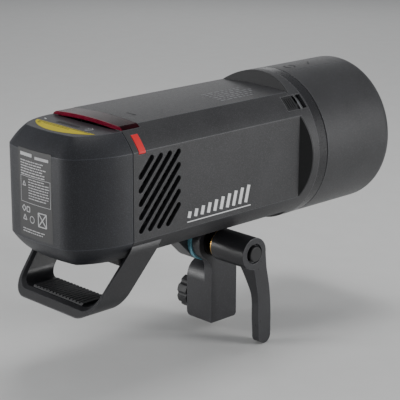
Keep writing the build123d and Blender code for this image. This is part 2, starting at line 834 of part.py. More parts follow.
with BuildPart() as cap_hollow:
    disc(cap_radius - cap_wall, cap_rear_y + 1, cap_rear_y + 1 - cap_front_y - cap_wall)
    fillet(cap_hollow.edges().filter_by(GeomType.CIRCLE).sort_by(Axis.Y)[0], cap_round - cap_wall)

with BuildPart() as front_cap:
    disc(cap_radius, cap_rear_y, cap_rear_y - cap_front_y)
    fillet(front_cap.edges().filter_by(GeomType.CIRCLE).sort_by(Axis.Y)[0], cap_round)
    chamfer(front_cap.edges().filter_by(GeomType.CIRCLE).sort_by(Axis.Y)[-1], 0.4)
    add(cap_hollow.part, mode=Mode.SUBTRACT)
    with BuildSketch(corner_plane(seam_mark_angle, cap_radius + 1, cap_middle - 1)):
        Rectangle(77, 0.7)
    extrude(amount=-1.6, mode=Mode.SUBTRACT)
    for turn in range(3):
        with BuildSketch(station(cap_rear_y - 3).rotated((0, 90 + 120 * turn, 0))):
            with Locations((cap_radius - cap_wall - 1.6, 0)):
                Rectangle(3.8, 14)
        extrude(amount=4)
save(front_cap, "front_cap")

# ---- Carry handle ------------------------------------------------------------------------------
grip_top_z = axis_z - 37.9  # height where the arms leave the casing
grip_half = 52.6
grip_draw = 0.115  # the arms draw in by this much per mm downward
grip_low_z = 51.8
grip_bar = 7.0
grip_arm = 4.6
grip_bevel = 2.2  # bevel round the rear rim of the opening
grip_sweep = 0.806  # rearward slope per mm downward
grip_front_y = shoulder_y + 152.2
grip_length = 30.0
pad_half = 30.0
pad_rise = 1.6
pad_margin = 3.4


def grip_face(inset, low_z, corner):
    """Section of the handle across Y: a trapezoid that is narrower at the bottom."""
    reach = 12.0
    top_half = grip_half - inset + reach * grip_draw
    low_half = grip_half - inset - (grip_top_z - low_z) * grip_draw
    with BuildSketch(Plane.XZ) as face:
        with BuildLine() as outline:
            Polyline(
                (-top_half, grip_top_z + reach),
                (-low_half, low_z),
                (low_half, low_z),
                (top_half, grip_top_z + reach),
                close=True,
            )
        make_face(outline.edges())
        fillet(face.vertices().group_by(Axis.Z)[0], corner)
    extrude(face.sketch, amount=-400)


def swept_slab(margin, half, low_z, high_z):
    """Block between the slanted front and rear faces of the handle."""
    with BuildSketch(side_plane(-half)) as face:
        with BuildLine() as outline:
            low_run = (grip_top_z - low_z) * grip_sweep
            high_run = (grip_top_z - high_z) * grip_sweep
            Polyline(
                (grip_front_y + low_run + margin, low_z),
                (grip_front_y + grip_length + low_run - margin, low_z),
                (grip_front_y + grip_length + high_run - margin, high_z),
                (grip_front_y + high_run + margin, high_z),
                close=True,
            )
        make_face(outline.edges())
    extrude(face.sketch, amount=2 * half)


def on_opening(edge):
    """True for an edge that borders the opening inside the handle."""
    middle = edge @ 0.5
    outer_half = grip_half - (grip_top_z - middle.Z) * grip_draw
    return abs(middle.X) < outer_half - 0.75 * grip_arm and middle.Z > grip_low_z + grip_bar - 0.5


with BuildPart() as grip_shell:
    grip_face(0, grip_low_z, 17)

with BuildPart() as grip_void:
    grip_face(grip_arm, grip_low_z + grip_bar, 10)

with BuildPart() as carry_handle:
    swept_slab(0, grip_half + 4, grip_low_z - 2, grip_top_z + 0.5)
    add(grip_shell.part, mode=Mode.INTERSECT)
    add(grip_void.part, mode=Mode.SUBTRACT)
    with BuildSketch(station(seam_y + 5)):
        section_face(-0.02)
    extrude(amount=70, mode=Mode.SUBTRACT)
    rear_rim = carry_handle.faces().filter_by(lambda face: face.normal_at().Y > 0.7)
    chamfer(rear_rim.edges().filter_by(on_opening), grip_bevel)
save(carry_handle, "carry_handle")

with BuildPart() as grip_pad:
    swept_slab(pad_margin, pad_half, grip_low_z + grip_bar + 0.02, grip_low_z + grip_bar + pad_rise)
    with BuildSketch(Plane.XZ):
        with Locations((0, grip_low_z + grip_bar + pad_rise)):
            with GridLocations(4, 1, 14, 1):
                Rectangle(1.5, 1.4)
    extrude(amount=-400, mode=Mode.SUBTRACT)
save(grip_pad, "grip_pad")

rail_rear_y = shoulder_y + 182.6
rail_front_y = shoulder_y + 150.0
rail_drop = 7.3
screw_head = 3.4

with BuildPart() as handle_rail:
    with BuildSketch(Plane.XY.offset(bottom_z - rail_drop)):
        with Locations((0, (rail_front_y + rail_rear_y) / 2)):
            RectangleRounded(74, rail_rear_y - rail_front_y, 3)
    extrude(amount=rail_drop)
    chamfer(handle_rail.faces().sort_by(Axis.Z)[0].edges(), 1)
    with BuildSketch(Plane.XY.offset(bottom_z - rail_drop)):
        with Locations(*rail_screws):
            Circle(screw_head + 0.2)
    extrude(amount=rail_drop - 3, mode=Mode.SUBTRACT)
    with BuildSketch(Plane.XY.offset(bottom_z - rail_drop)):
        with Locations(*rail_screws):
            Circle(screw_hole)
    extrude(amount=rail_drop, mode=Mode.SUBTRACT)
save(handle_rail, "handle_rail")

# ---- Tilt bracket ------------------------------------------------------------------------------
ear_radius = 18.5
ear_half_low = -2.6
plate_thick = 5.0
plate_low_z = bottom_z - plate_thick
bracket_hole = stud_radius + 0.05  # running fit on the stud
ring_face_x = -6.3
web_y = tilt_y + ear_radius * sin(radians(45))
web_z = tilt_z - ear_radius * sin(radians(45))

with BuildPart() as tilt_bracket:
    with BuildSketch(side_plane(ear_half_low)):
        with Locations((tilt_y, tilt_z)):
            Circle(ear_radius)
        with BuildLine() as web:
            Polyline(
                (tilt_y, tilt_z),
                (web_y, web_z),
                (web_y + plate_low_z - web_z, plate_low_z),
                (web_y + plate_low_z - web_z, bottom_z - 1),
                (tilt_y - 10, bottom_z - 1),
                close=True,
            )
        make_face(web.edges())
    extrude(amount=block_half - ear_half_low)
    with BuildSketch(Plane.XY.offset(plate_low_z)):
        with Locations((17, 24.5)):
            RectangleRounded(38, 75, 5)
    extrude(amount=plate_thick)
    with BuildSketch(side_plane(ear_half_low)):
        with Locations((tilt_y, tilt_z)):
            Circle(bracket_hole)
    extrude(amount=40, mode=Mode.SUBTRACT)
    with BuildSketch(Plane.XY.offset(plate_low_z)):
        with Locations(*bracket_screws):
            Circle(screw_hole)
    extrude(amount=plate_thick, mode=Mode.SUBTRACT)
save(tilt_bracket, "tilt_bracket")

with BuildPart() as base_screws:
    for spots, seat_z in ((bracket_screws, plate_low_z), (rail_screws, bottom_z - 3)):
        with BuildSketch(Plane.XY.offset(seat_z)):
            with Locations(*spots):
                Circle(screw_head)
        extrude(amount=-2.2)
        with BuildSketch(Plane.XY.offset(seat_z - 2.2)):
            with Locations(*spots):
                RegularPolygon(1.5, 6)
        extrude(amount=1.4, mode=Mode.SUBTRACT)
        with BuildSketch(Plane.XY.offset(seat_z)):
            with Locations(*spots):
                Circle(screw_shank)
        extrude(amount=bottom_z + 5.5 - seat_z)
save(base_screws, "base_screws")

# ---- Stand block -------------------------------------------------------------------------------
face_half = 14.8  # front and rear faces of the block
neck_z = 48.0
knob_hole = 3.1


def hub_point(angle):
    return (tilt_y + hub_radius * cos(radians(angle)), tilt_z + hub_radius * sin(radians(angle)))


with BuildPart() as stand_block:
    # Half with the hub
    with BuildSketch(side_plane(-block_half)):
        with BuildLine():
            Line((face_half, 0), (face_half, neck_z))
            Spline((face_half, neck_z), hub_point(-35), tangents=((0, 1), (0.574, 0.819)))
            ThreePointArc(hub_point(-35), hub_point(104), hub_point(243.7))
            Line(hub_point(243.7), (-7.3, 52.3))
            ThreePointArc((-7.3, 52.3), (-12.4, 50.2), (-face_half, 45.5))
            Line((-face_half, 45.5), (-face_half, 3))
            ThreePointArc((-face_half, 3), (-face_half + 0.9, 0.9), (-face_half + 3, 0))
            Line((-face_half + 3, 0), (face_half, 0))
        make_face()
    extrude(amount=block_half + ring_face_x)
    # Lower half on the ear's side
    with BuildSketch(side_plane(ring_face_x)):
        with BuildLine():
            Line((face_half, 0), (face_half, 35))
            ThreePointArc((face_half, 35), (12.4, 43), (6.5, 48.5))
            ThreePointArc((6.5, 48.5), (0.5, 51.2), (-7.3, 52.0))
            ThreePointArc((-7.3, 52.0), (-12.4, 50), (-face_half, 45.5))
            Line((-face_half, 45.5), (-face_half, 3))
            ThreePointArc((-face_half, 3), (-face_half + 0.9, 0.9), (-face_half + 3, 0))
            Line((-face_half + 3, 0), (face_half, 0))
        make_face()
    extrude(amount=block_half - ring_face_x)
    fillet(stand_block.faces().sort_by(Axis.X)[-1].edges().sort_by(Axis.Z)[0], 4)
    with BuildSketch(Plane.XY):
        Circle(socket_radius)
    extrude(amount=socket_depth, mode=Mode.SUBTRACT)
    with BuildSketch(side_plane(0)):
        with Locations((0, knob_z)):
            Circle(knob_hole)
    extrude(amount=block_half + 5, mode=Mode.SUBTRACT)
    with BuildSketch(side_plane(-block_half - 1)):
        with Locations((tilt_y, tilt_z)):
            Circle(bracket_hole)
    extrude(amount=20, mode=Mode.SUBTRACT)
save(stand_block, "stand_block")


def tilt_disc(x, radius, length, bore=0.0):
    """Disc on the tilt axis from x towards +X."""
    with BuildSketch(side_plane(x)) as face:
        with Locations((tilt_y, tilt_z)):
            Circle(radius)
            if bore:
                Circle(bore, mode=Mode.SUBTRACT)
    extrude(face.sketch, amount=length)


with BuildPart() as friction_ring:
    tilt_disc(ring_face_x, 18.3, ear_half_low - 0.1 - ring_face_x, bracket_hole)
save(friction_ring, "friction_ring")

lever_x = -62.0  # outer face of the lever
hub_face_x = -25.0  # inner face of the lever's hub
stud_low_x = -46.0

with BuildPart() as clamp_stud:
    tilt_disc(stud_low_x, stud_radius, block_half + 0.2 - stud_low_x)
    tilt_disc(block_half + 0.2, 9, 4)
    chamfer(clamp_stud.faces().sort_by(Axis.X)[-1].edges(), 0.8)
    with BuildSketch(side_plane(block_half + 4.2)):
        with Locations((tilt_y, tilt_z)):
            RegularPolygon(3.5, 6)
    extrude(amount=-2.5, mode=Mode.SUBTRACT)
save(clamp_stud, "clamp_stud")

with BuildPart() as thrust_washer:
    tilt_disc(-17.6, 12, 17.6 - block_half, bracket_hole)
    tilt_disc(-23.4, 8, 5.8, bracket_hole)
save(thrust_washer, "thrust_washer")

with BuildPart() as indicator_ring:
    tilt_disc(hub_face_x + 0.1, 12.6, 1.4, bracket_hole)
save(indicator_ring, "indicator_ring")

# ---- Clamp lever -------------------------------------------------------------------------------
lever_hub_radius = 13.4
lever_thick = 8.0
button_radius = 6.5

with BuildPart() as lever_web:
    # Thickness profile across X: thin blade that runs up into the hub
    with BuildSketch(Plane.XZ):
        with BuildLine():
            Line((lever_x, -12), (lever_x, 90))
            Line((lever_x, 90), (lever_x + 22, 90))
            Line((lever_x + 22, 90), (lever_x + 22, 66))
            Spline(
                (lever_x + 22, 66),
                (lever_x + 14.6, 54),
                (lever_x + 10.4, 43),
                (lever_x + lever_thick, 31),
                tangents=((-0.9, -1), (0, -1)),
            )
            Line((lever_x + lever_thick, 31), (lever_x + lever_thick, -12))
            Line((lever_x + lever_thick, -12), (lever_x, -12))
        make_face()
    extrude(amount=60, both=True)

with BuildPart() as clamp_lever:
    with BuildSketch(side_plane(lever_x)):
        with BuildLine():
            Line((tilt_y - 13.2, tilt_z), (-1.9, 60.5))
            Spline((-1.9, 60.5), (-3.8, 50.5), (-7.8, 21.5), (-8, -1.9), tangents=((-0.1, -1), (0, -1)))
            ThreePointArc((-8, -1.9), (-0.2, -8.4), (5.5, -1))
            Spline((5.5, -1), (6.3, 11.2), (6.7, 28.8), (9.4, 44.7), (12, 58.4), tangents=((0, 1), (0.2, 1)))
            Line((12, 58.4), (tilt_y + 13.2, tilt_z))
            Line((tilt_y + 13.2, tilt_z), (tilt_y - 13.2, tilt_z))
        make_face()
    extrude(amount=30)
    add(lever_web.part, mode=Mode.INTERSECT)
    tilt_disc(lever_x, lever_hub_radius, hub_face_x - lever_x)
    tilt_disc(lever_x - 1, 8.5, 3.5)
    with BuildSketch(side_plane(lever_x)):
        with Locations((tilt_y, tilt_z)):
            Circle(8.5)
    extrude(amount=-1, mode=Mode.SUBTRACT)
    with BuildSketch(side_plane(lever_x)):
        with Locations((tilt_y, tilt_z)):
            Circle(8.5)
    extrude(amount=2.5, mode=Mode.SUBTRACT)
    with BuildSketch(side_plane(lever_x)):
        with Locations((tilt_y, tilt_z)):
            Circle(button_radius + 0.3)
    extrude(amount=11, mode=Mode.SUBTRACT)
    with BuildSketch(side_plane(stud_low_x - 0.3)):
        with Locations((tilt_y, tilt_z)):
            Circle(stud_radius + 0.05)
    extrude(amount=hub_face_x + 1 - stud_low_x, mode=Mode.SUBTRACT)
save(clamp_lever, "clamp_lever")

with BuildPart() as lever_button:
    tilt_disc(lever_x - 2, button_radius, 8)
    fillet(lever_button.faces().sort_by(Axis.X)[0].edges(), 1)
save(lever_button, "lever_button")

# ---- Socket clamp screw ------------------------------------------------------------------------
knob_x = block_half + 1.7
knob_radius = 15.0
pad_face_x = socket_radius + 0.3

with BuildPart() as socket_knob:
    with BuildSketch(side_plane(knob_x)):
        with Locations((0, knob_z)):
            Circle(knob_radius)
            with PolarLocations(knob_radius + 1.2, 9):
                Circle(2.6, mode=Mode.SUBTRACT)
    extrude(amount=11)
    fillet(socket_knob.faces().sort_by(Axis.X)[-1].edges(), 0.8)
    with BuildSketch(side_plane(pad_face_x + 2.7)):
        with Locations((0, knob_z)):
            Circle(knob_hole - 0.08)
    extrude(amount=knob_x - pad_face_x - 2.7)
save(socket_knob, "socket_knob")

with BuildPart() as screw_pad:
    with BuildSketch(side_plane(pad_face_x)):
        with Locations((0, knob_z)):
            Circle(knob_hole - 0.08)
    extrude(amount=2.6)
save(screw_pad, "screw_pad")
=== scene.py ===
"""Looks of the battery monolight: materials, printed marks, studio and camera round its frame."""

import json
import math
import random

import bpy
from mathutils import Matrix, Vector


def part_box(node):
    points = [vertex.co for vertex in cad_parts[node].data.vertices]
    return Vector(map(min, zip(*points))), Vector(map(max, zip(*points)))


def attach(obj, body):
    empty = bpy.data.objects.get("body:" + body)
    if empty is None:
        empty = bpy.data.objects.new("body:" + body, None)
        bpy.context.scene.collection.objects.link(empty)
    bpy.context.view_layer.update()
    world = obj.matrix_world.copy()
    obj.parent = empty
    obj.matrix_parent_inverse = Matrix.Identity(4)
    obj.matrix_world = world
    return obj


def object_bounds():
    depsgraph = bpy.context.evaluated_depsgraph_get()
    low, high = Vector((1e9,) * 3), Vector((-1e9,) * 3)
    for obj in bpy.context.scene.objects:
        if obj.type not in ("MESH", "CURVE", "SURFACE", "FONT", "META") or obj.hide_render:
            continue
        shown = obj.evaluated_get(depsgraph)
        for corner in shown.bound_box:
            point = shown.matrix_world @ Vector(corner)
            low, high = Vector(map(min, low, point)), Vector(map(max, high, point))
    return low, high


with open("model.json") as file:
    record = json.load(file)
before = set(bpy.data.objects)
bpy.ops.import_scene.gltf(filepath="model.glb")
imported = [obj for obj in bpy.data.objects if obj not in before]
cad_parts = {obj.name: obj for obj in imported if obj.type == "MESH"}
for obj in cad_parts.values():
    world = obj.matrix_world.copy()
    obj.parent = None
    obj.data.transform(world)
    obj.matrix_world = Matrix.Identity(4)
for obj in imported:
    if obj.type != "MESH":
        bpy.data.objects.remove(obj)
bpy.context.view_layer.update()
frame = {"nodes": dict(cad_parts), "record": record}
nodes = frame["nodes"]
random.seed(7)

# ---- Places taken from the frame, metres --------------------------------------------------------
battery_low, battery_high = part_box("battery_case")
cap_low, cap_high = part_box("front_cap")
axis_z = (cap_low.z + cap_high.z) / 2
side_x = battery_low.x  # flat side towards the camera
seam_y = battery_low.y
shoulder_y = seam_y - 0.18365  # rear of the shoulder behind the front ring
battery_top = battery_high.z
tail_y = battery_high.y
tail_radius = 0.160  # bend of the battery's rear face, seen from above
top_edge = 0.052  # edge of the crowned top above the flash axis
crown = 0.0018  # rise of the crowned top over its edges
crown_half = 0.0373
proud = 0.0001  # printed marks stand this far off the surface
print_thickness = 0.00008
label_proud = 0.00006
label_print_proud = 0.00018
strip_proud = 0.00008
strip_print_proud = 0.0002


# ---- Materials ----------------------------------------------------------------------------------
class Shade:
    """A procedural material on a Principled shader, textured in the object's own coordinates."""

    def __init__(self, name, metallic=0.0, coat=0.0, specular=0.5):
        self.material = bpy.data.materials.new(name)
        self.material.use_nodes = True
        self.tree = self.material.node_tree
        self.shader = self.tree.nodes["Principled BSDF"]
        self.shader.inputs["Metallic"].default_value = metallic
        self.shader.inputs["Specular IOR Level"].default_value = specular
        self.shader.inputs["Coat Weight"].default_value = coat
        self.shader.inputs["Coat Roughness"].default_value = 0.08
        self.place = self.node("ShaderNodeTexCoord").outputs["Object"]

    def node(self, kind, **values):
        """New node; each value goes to the input of that name or else to the node's own setting."""
        made = self.tree.nodes.new(kind)
        for key, value in values.items():
            if key in made.inputs:
                made.inputs[key].default_value = value
            else:
                setattr(made, key, value)
        return made

    def link(self, source, target):
        self.tree.links.new(source, target)

    def noise(self, scale, detail=3.0, stretch=None):
        """Noise with scale features to the metre, drawn out along an axis by a smaller stretch."""
        made = self.node("ShaderNodeTexNoise", Scale=scale, Detail=detail)
        if stretch:
            mapping = self.node("ShaderNodeMapping")
            mapping.inputs["Scale"].default_value = stretch
            self.link(self.place, mapping.inputs["Vector"])
            self.link(mapping.outputs["Vector"], made.inputs["Vector"])
        else:
            self.link(self.place, made.inputs["Vector"])
        return made.outputs["Fac"]

    def ramp(self, source, stops):
        made = self.node("ShaderNodeValToRGB")
        while len(made.color_ramp.elements) < len(stops):
            made.color_ramp.elements.new(0.5)
        for element, (position, color) in zip(made.color_ramp.elements, stops):
            element.position = position
            element.color = (*color, 1)
        self.link(source, made.inputs["Fac"])
        return made.outputs["Color"]

    def blend(self, factor, first, second):
        made = self.node("ShaderNodeMix", data_type="RGBA", blend_type="MIX")
        self.link(factor, made.inputs["Factor"])
        self.link(first, made.inputs["A"])
        self.link(second, made.inputs["B"])
        return made.outputs["Result"]

    def spread(self, source, low, high):
        made = self.node("ShaderNodeMapRange")
        made.inputs["To Min"].default_value = low
        made.inputs["To Max"].default_value = high
        self.link(source, made.inputs["Value"])
        return made.outputs["Result"]


least_grain = 0.02
grain_height = 0.0003
painted_highlight_range = (0.975, 0.9975)  # cosine between face and rounded edge: full painted highlight, no painted highlight


def scaled(color, factor):
    return tuple(min(1.0, c * factor) for c in color)


def coating(name, color, rough=(0.45, 0.6), speckle=0.0, grain=0.0, edge=0.0, grain_scale=900,
            stretch=None, slow=0.12, **options):
    """Plastic, paint, rubber or metal: edge is the width of its rounded edges, which get a painted
    highlight, in metres.

    rough is the range of its roughness, speckle the strength of pale flecks, grain the height of
    the bump and slow the share by which the colour drifts over the piece.
    """
    shade = Shade(name, **options)
    cloudy = shade.noise(38, 4)
    body = shade.ramp(cloudy, [(0.3, scaled(color, 1 - slow)), (0.7, scaled(color, 1 + slow))])
    fine = shade.noise(grain_scale, 2, stretch)
    if speckle:
        flecks = shade.ramp(fine, [(0.5, (0, 0, 0)), (0.72, (1, 1, 1))])
        light = shade.ramp(cloudy, [(0.0, scaled(color, 1 + speckle)),
                                    (1.0, scaled(color, 1 + 1.3 * speckle))])
        body = shade.blend(flecks, body, light)
    if edge:
        # Painted highlight: rounded edges are blended towards a colour 3.2 to 4.2 times the body's colour.
        rounded = shade.node("ShaderNodeBevel", samples=4, Radius=edge)
        flat = shade.node("ShaderNodeNewGeometry").outputs["Normal"]
        facing = shade.node("ShaderNodeVectorMath", operation="DOT_PRODUCT")
        shade.link(rounded.outputs["Normal"], facing.inputs[0])
        shade.link(flat, facing.inputs[1])
        painted_highlight_mask = shade.ramp(facing.outputs["Value"], [(painted_highlight_range[0], (1, 1, 1)), (painted_highlight_range[1], (0, 0, 0))])
        painted_rim_light = shade.ramp(cloudy, [(0.0, scaled(color, 3.2)), (1.0, scaled(color, 4.2))])
        body = shade.blend(painted_highlight_mask, body, painted_rim_light)
    shade.link(body, shade.shader.inputs["Base Color"])
    shade.link(shade.spread(shade.noise(grain_scale / 3, 3), *rough), shade.shader.inputs["Roughness"])
    bump = shade.node("ShaderNodeBump", Strength=max(grain, least_grain), Distance=grain_height)
    shade.link(fine, bump.inputs["Height"])
    if edge:
        shade.link(rounded.outputs["Normal"], bump.inputs["Normal"])
    shade.link(bump.outputs["Normal"], shade.shader.inputs["Normal"])
    return shade.material


def glass(name, color, rough):
    """Clear borosilicate glass with a faint drift of tone."""
    shade = Shade(name)
    tone = shade.ramp(shade.noise(60, 2), [(0.3, scaled(color, 0.95)), (0.7, scaled(color, 1.0))])
    shade.link(tone, shade.shader.inputs["Base Color"])
    uneven = shade.spread(shade.noise(300, 2), rough * 0.7, rough * 1.4)
    shade.link(uneven, shade.shader.inputs["Roughness"])
    shade.shader.inputs["Transmission Weight"].default_value = 1.0
    shade.shader.inputs["IOR"].default_value = 1.47
    return shade.material


def metal(name, color, rough=(0.2, 0.35), stretch=None, edge=0.0, grain=0.05):
    return coating(name, color, rough, grain=grain, grain_scale=700, stretch=stretch, slow=0.06,
                   edge=edge, metallic=1.0)


lens_rim_start = 0.0022  # red sets in this far ahead of the seam
lens_rim_full = 0.0008


def lens_glass(name):
    """Smoked red lens: nearly black on its face and red where the rear edge catches light."""
    shade = Shade(name, specular=0.05)
    spot = shade.node("ShaderNodeSeparateXYZ")
    shade.link(shade.place, spot.inputs["Vector"])
    near_edge = shade.node("ShaderNodeMapRange")
    near_edge.inputs["From Min"].default_value = seam_y - lens_rim_start
    near_edge.inputs["From Max"].default_value = seam_y - lens_rim_full
    shade.link(spot.outputs["Y"], near_edge.inputs["Value"])
    face = shade.ramp(shade.noise(55, 3), [(0.3, (0.006, 0.002, 0.003)), (0.8, (0.03, 0.003, 0.006))])
    painted_rim_light = shade.ramp(shade.noise(140, 3), [(0.3, (0.12, 0.003, 0.014)), (0.7, (0.22, 0.006, 0.03))])
    shade.link(shade.blend(near_edge.outputs["Result"], face, painted_rim_light), shade.shader.inputs["Base Color"])
    shade.link(shade.spread(shade.noise(200, 2), 0.16, 0.24), shade.shader.inputs["Roughness"])
    return shade.material


charcoal = (0.033, 0.033, 0.035)
dark = (0.008, 0.008, 0.009)
rough_coat = dict(rough=(0.34, 0.48), speckle=0.9, grain=0.3, grain_scale=1500, specular=0.38)
turned_x = (0.05, 1, 1)
looks = {
    "case_charcoal": coating("Charcoal_Coat", charcoal, edge=0.0009, **rough_coat),
    "cap_charcoal": coating("Cap_Coat", scaled(charcoal, 1.05), edge=0.0007, **rough_coat),
    "battery_grey": coating("Battery_Coat", (0.022, 0.023, 0.027), edge=0.0009, **rough_coat),
    "ring_black": coating("Bezel_Satin", (0.014, 0.014, 0.016), (0.24, 0.32),
                          grain=0.03, edge=0.0004),
    "soft_black": coating("Moulded_Black", dark, (0.45, 0.6),
                          speckle=0.5, grain=0.2, edge=0.0003),
    "rubber_black": coating("Rubber_Black", (0.020, 0.020, 0.022), (0.5, 0.65),
                            grain=0.1, edge=0.0004),
    "steel": metal("Turned_Steel", (0.55, 0.55, 0.57), stretch=turned_x, edge=0.0003),
    "zinc": metal("Zinc_Plate", (0.60, 0.60, 0.61), edge=0.0003),
    "aluminium": metal("Milled_Aluminium", (0.66, 0.67, 0.68), (0.25, 0.4)),
    "reflector": metal("Polished_Reflector", (0.88, 0.88, 0.89), (0.05, 0.12), grain=0.02),
    "dome_glass": glass("Dome_Glass", (0.96, 0.97, 0.98), 0.02),
    "tube_glass": glass("Tube_Glass", (0.93, 0.94, 0.9), 0.05),
    "lamp_yellow": coating("Phosphor_Yellow", (0.80, 0.62, 0.12), (0.3, 0.4), grain=0.1),
    "ceramic": coating("Ceramic", (0.75, 0.73, 0.68), (0.5, 0.65), grain=0.15),
    "can_sleeve": coating("Shrink_Sleeve", (0.02, 0.03, 0.07), (0.25, 0.35), grain=0.05),
    "board_green": coating("Solder_Mask", (0.015, 0.09, 0.04), (0.3, 0.45),
                           speckle=0.8, grain_scale=400),
    "copper_coil": metal("Lacquered_Winding", (0.65, 0.27, 0.12), stretch=(1, 1, 8)),
    "contact_gold": metal("Contact_Gold", (0.85, 0.62, 0.25)),
    "lens_red": lens_glass("Smoked_Red_Lens"),
    "button_red": coating("Signal_Red", (0.72, 0.012, 0.016), (0.4, 0.5),
                          grain=0.05, edge=0.0003, slow=0.05),
    "panel_black": coating("Panel_Satin", (0.020, 0.020, 0.022), (0.3, 0.42),
                           grain=0.08, edge=0.0003),
    "window": coating("Tinted_Window", (0.010, 0.014, 0.017), (0.05, 0.1), coat=1.0),
    "key_grey": coating("Key_Silicone", (0.11, 0.11, 0.115), (0.55, 0.7), grain=0.15, edge=0.0004),
    "handle_grey": coating("Handle_Satin", (0.016, 0.016, 0.018), (0.32, 0.44),
                           speckle=0.5, grain=0.2, edge=0.0009),
    "block_grey": coating("Cast_Satin", (0.022, 0.022, 0.025), (0.34, 0.46),
                          speckle=0.6, grain=0.3, edge=0.0007),
    "friction_blue": coating("Friction_Disc", (0.10, 0.27, 0.34), (0.35, 0.5),
                             speckle=0.4, grain=0.2, edge=0.0003),
    "ring_gold": metal("Anodised_Gold", (0.75, 0.42, 0.10), stretch=turned_x, edge=0.0002),
    "lever_black": coating("Lever_Nylon", (0.026, 0.026, 0.029), (0.24, 0.36),
                           speckle=0.4, grain=0.08, edge=0.0009),
    "brass_pad": metal("Turned_Brass", (0.70, 0.50, 0.20), stretch=turned_x),
    "cell_wrap": coating("Cell_Wrap", (0.02, 0.13, 0.28), (0.25, 0.35), grain=0.05),
}
slot_of = {s["node"]: s["material_slot"] for s in frame["record"]["subparts"]}
for name, item in nodes.items():
    item.data.materials.clear()
    item.data.materials.append(looks[slot_of[name]])
blackened = metal("Blackened_Steel", (0.035, 0.035, 0.038), (0.4, 0.55))
for name in ("bayonet_ring", "thrust_washer"):
    nodes[name].data.materials[0] = blackened
level_tint = coating("Level_Window", (0.012, 0.012, 0.014), (0.4, 0.5), specular=0.15)
nodes["level_window"].data.materials[0] = level_tint

label_grey = coating("Label_Film", (0.033, 0.033, 0.034), (0.42, 0.5), grain=0.03, slow=0.05)
print_light = coating("Print_Light_Grey", (0.50, 0.50, 0.51), (0.45, 0.55), grain=0.04, slow=0.1)
print_white = coating("Print_White", (0.78, 0.78, 0.79), (0.45, 0.55), grain=0.04, slow=0.05)
print_faint = coating("Print_Faint", (0.17, 0.17, 0.18), (0.4, 0.5), grain=0.04, slow=0.1)
print_dark = coating("Print_Dark", (0.010, 0.010, 0.011), (0.5, 0.6), grain=0.04, slow=0.1)
label_yellow = coating("Label_Yellow", (0.60, 0.49, 0.008), (0.5, 0.6), grain=0.04, slow=0.06,
                       specular=0.2)


# ---- Printed marks: thin patches that follow a surface ------------------------------------------
def on_tail(u, v, lift):
    """Rear face of the battery: u to the right seen from behind, v up, from the flash axis."""
    reach = tail_radius + lift
    return Vector((-u, tail_y - tail_radius + math.sqrt(reach**2 - u**2), axis_z + v))


def on_battery_top(u, v, lift):
    """Top of the battery: u along -X, v metres behind the seam."""
    return Vector((-u, seam_y + v, battery_top + lift))


def on_housing_top(u, v, lift):
    """Crowned top of the head: u along -X, v metres behind the shoulder."""
    bend = (crown_half**2 + crown**2) / (2 * crown)
    height = axis_z + top_edge + crown - bend + math.sqrt(bend**2 - u**2)
    return Vector((-u, shoulder_y + v, height + lift))


def on_side(u, v, lift):
    """Flat side towards the camera: u metres behind the shoulder, v above the flash axis."""
    return Vector((side_x - lift, shoulder_y + u, axis_z + v))


cap_mark_angle = 86  # degrees above horizontal on the near side


def on_cap(u, v, lift):
    """Cap's round wall: u metres ahead of its rear edge, v metres round from cap_mark_angle."""
    cap_radius = (cap_high.z - cap_low.z) / 2
    turn = math.radians(cap_mark_angle) + v / cap_radius
    radius = cap_radius + lift
    return Vector((-radius * math.cos(turn), cap_high.y - u, axis_z + radius * math.sin(turn)))


def patches(name, surface, outlines, material, body, lift=proud, steps=6):
    """One mesh of flat strips; each outline is (u0, v0, u1, v1, half width)."""
    vertices, faces = [], []
    for u0, v0, u1, v1, half in outlines:
        run = Vector((u1 - u0, v1 - v0))
        side = Vector((-run.y, run.x)).normalized() * half
        first = len(vertices)
        for step in range(steps + 1):
            u, v = u0 + run.x * step / steps, v0 + run.y * step / steps
            vertices.append(surface(u - side.x, v - side.y, lift))
            vertices.append(surface(u + side.x, v + side.y, lift))
        for step in range(steps):
            a = first + 2 * step
            faces.append((a, a + 1, a + 3, a + 2))
    solid_sheet(name, vertices, faces, material, body)


def solid_sheet(name, vertices, faces, material, body):
    """Object of one thin printed layer that rides on a body."""
    mesh = bpy.data.meshes.new(name)
    mesh.from_pydata([tuple(v) for v in vertices], [], faces)
    mesh.validate()
    item = bpy.data.objects.new(name, mesh)
    bpy.context.collection.objects.link(item)
    mesh.materials.append(material)
    thick = item.modifiers.new("thickness", "SOLIDIFY")
    thick.thickness = print_thickness
    thick.offset = 0
    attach(item, body)


def text_rows(left, top, width, pitch, count, half, gap=0.0007, word=(0.0012, 0.005)):
    """Rows of dashes of uneven length that stand for small print."""
    strips = []
    for row in range(count):
        v = top - pitch * row
        end = left + width * random.uniform(0.72, 1.0)
        u = left
        while u < end - word[0]:
            stop = min(end, u + random.uniform(*word))
            strips.append((u, v, stop, v, half))
            u = stop + gap
    return strips


def ring(u, v, radius, half, corners, start=0.0, turn=360.0):
    """Strips round a circle or part of one; few corners give a triangle or a square."""
    points = []
    for corner in range(corners + 1):
        angle = math.radians(start + turn * corner / corners)
        points.append((u + radius * math.cos(angle), v + radius * math.sin(angle)))
    return [(*a, *b, half) for a, b in zip(points, points[1:])]


def level_bar(left, right, height, half):
    return (left, height, right, height, half)


def frame_lines(left, low, right, high, half):
    """Outline of an upright rectangle."""
    corners = [(left, low), (right, low), (right, high), (left, high), (left, low)]
    return [(*a, *b, half) for a, b in zip(corners, corners[1:])]


# Rating label on the rear: rows of dashes, plain boxes and rings instead of lettering and badges
label_half = 0.0195
label_shift = 0.0012  # label's middle, to the right of the flash axis
label_low, label_high = -0.0325, 0.0362
label_middle = (label_low + label_high) / 2
label_film = (label_shift - label_half, label_middle, label_shift + label_half, label_middle,
              (label_high - label_low) / 2)
patches("Rear_Label", on_tail, [label_film], label_grey, "battery", lift=label_proud, steps=16)

